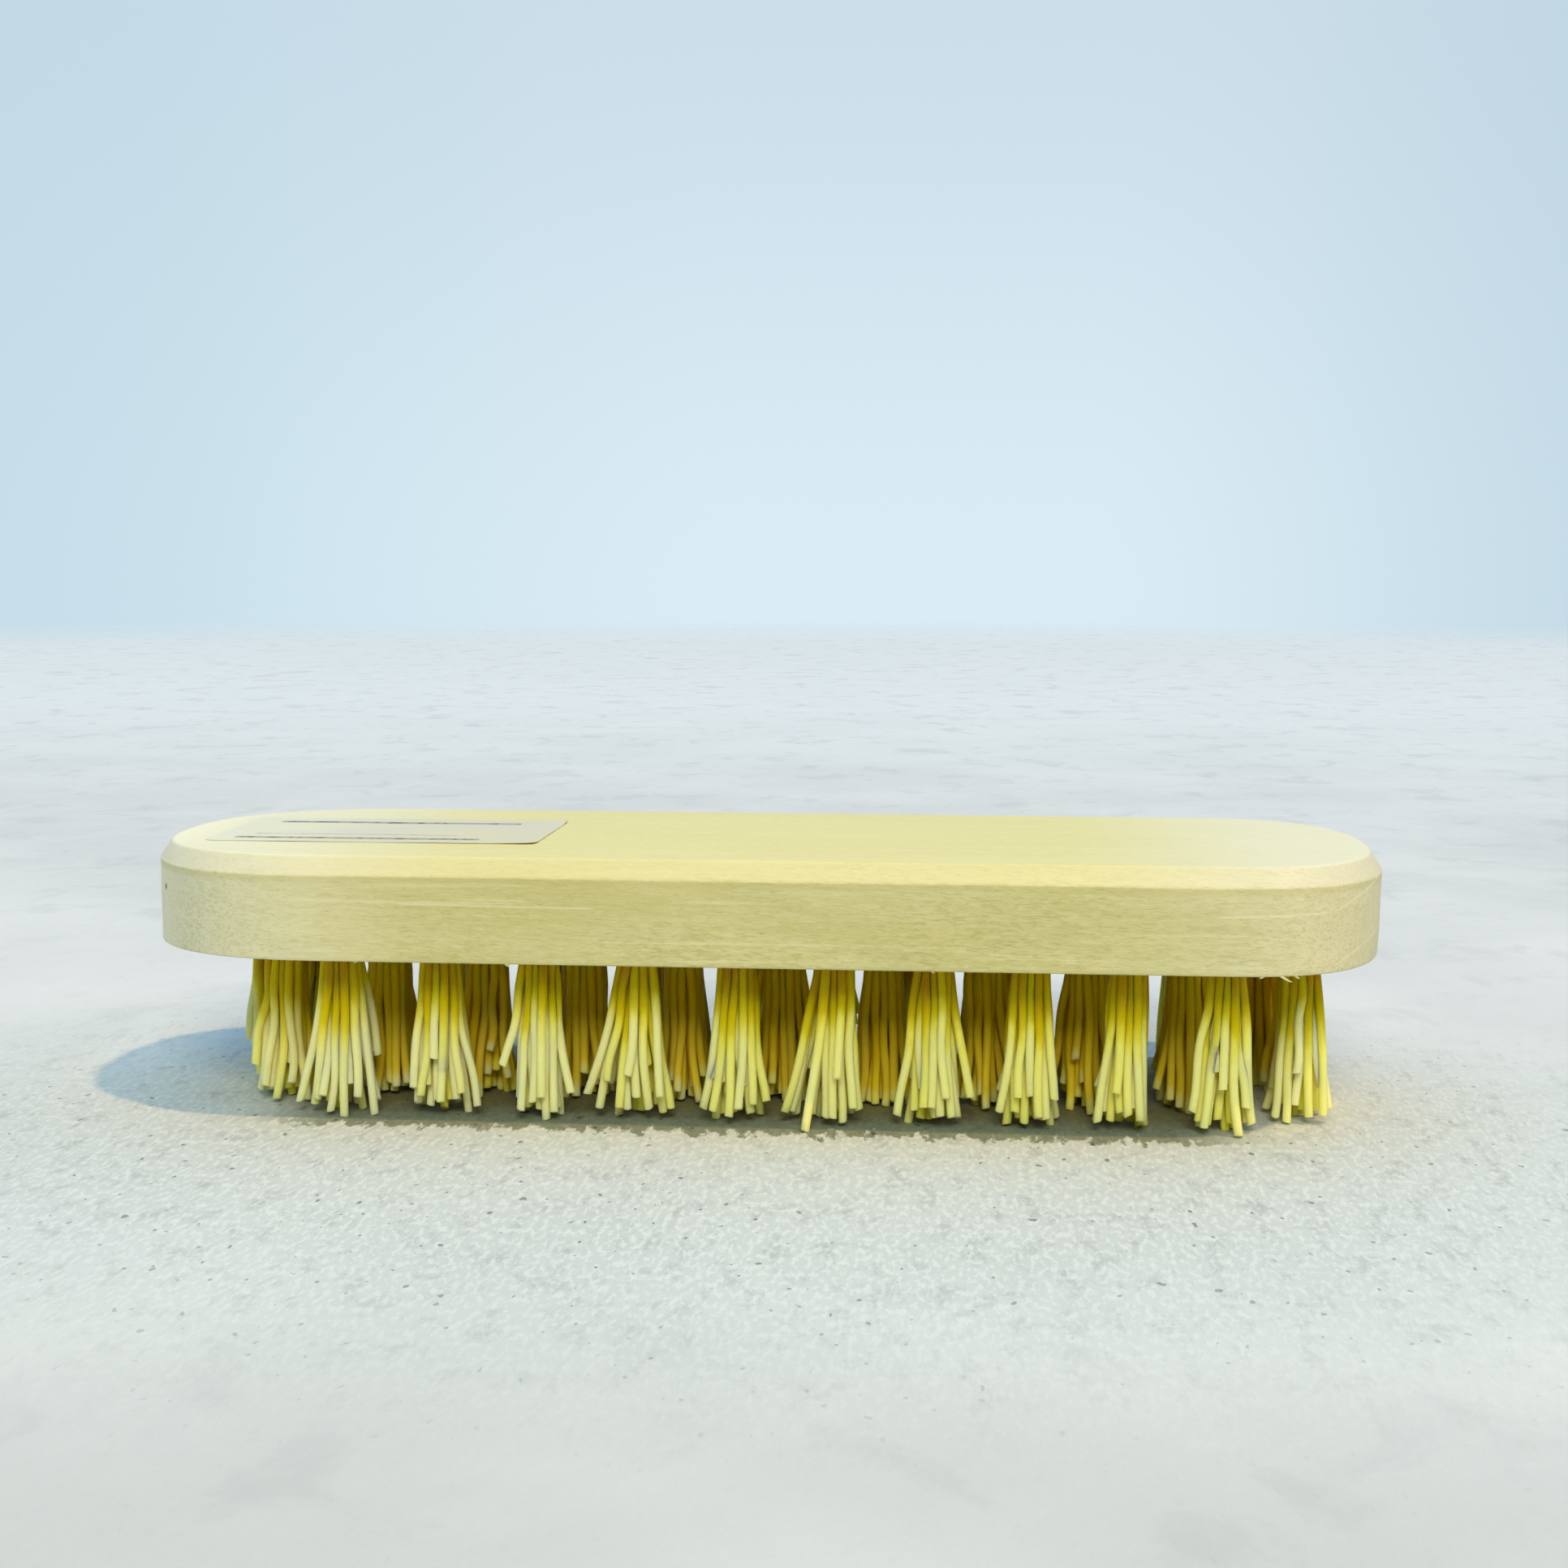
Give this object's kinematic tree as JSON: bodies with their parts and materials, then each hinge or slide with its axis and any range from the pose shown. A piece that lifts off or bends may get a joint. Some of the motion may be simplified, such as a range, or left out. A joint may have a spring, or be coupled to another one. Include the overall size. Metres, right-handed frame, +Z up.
{
  "type": "hand brush",
  "caption": "Wooden hand scrubbing brush: a block with rounded ends and a chamfered top, set below with tufts of stiff yellow plastic bristles, with a blank film label on top.",
  "frame": {"origin": "on the surface that the bristle tips stand on, under the middle of the block", "axes": "+X along the block, towards the end away from the label; -Y the front side of the picture; +Z up, from the bristle tips to the flat top"},
  "size_m": [0.15, 0.05, 0.0327],
  "materials": {
    "wood": "bare pale hardwood, sanded, with fine straight grain along the block and faint saw lines at the ends",
    "bristle": "translucent yellow plastic filament, satin, paler at the cut tips and deeper yellow at the roots",
    "label": "thin greyish white label film, slightly translucent, blank"
  },
  "bodies": {
    "root": {"wood_block": "wood", "label": "label", "tuft_left_end_1": "bristle", "tuft_left_end_2": "bristle", "tuft_left_end_3": "bristle", "tuft_front_01": "bristle", "tuft_front_02": "bristle", "tuft_front_03": "bristle", "tuft_front_04": "bristle", "tuft_front_05": "bristle", "tuft_front_06": "bristle", "tuft_front_07": "bristle", "tuft_front_08": "bristle", "tuft_front_09": "bristle", "tuft_front_10": "bristle", "tuft_inner_front_01": "bristle", "tuft_inner_front_02": "bristle", "tuft_inner_front_03": "bristle", "tuft_inner_front_04": "bristle", "tuft_inner_front_05": "bristle", "tuft_inner_front_06": "bristle", "tuft_inner_front_07": "bristle", "tuft_inner_front_08": "bristle", "tuft_inner_front_09": "bristle", "tuft_inner_back_01": "bristle", "tuft_inner_back_02": "bristle", "tuft_inner_back_03": "bristle", "tuft_inner_back_04": "bristle", "tuft_inner_back_05": "bristle", "tuft_inner_back_06": "bristle", "tuft_inner_back_07": "bristle", "tuft_inner_back_08": "bristle", "tuft_inner_back_09": "bristle", "tuft_back_01": "bristle", "tuft_back_02": "bristle", "tuft_back_03": "bristle", "tuft_back_04": "bristle", "tuft_back_05": "bristle", "tuft_back_06": "bristle", "tuft_back_07": "bristle", "tuft_back_08": "bristle", "tuft_back_09": "bristle", "tuft_back_10": "bristle", "tuft_right_end_1": "bristle", "tuft_right_end_2": "bristle", "tuft_right_end_3": "bristle"}
  },
  "joints": []
}
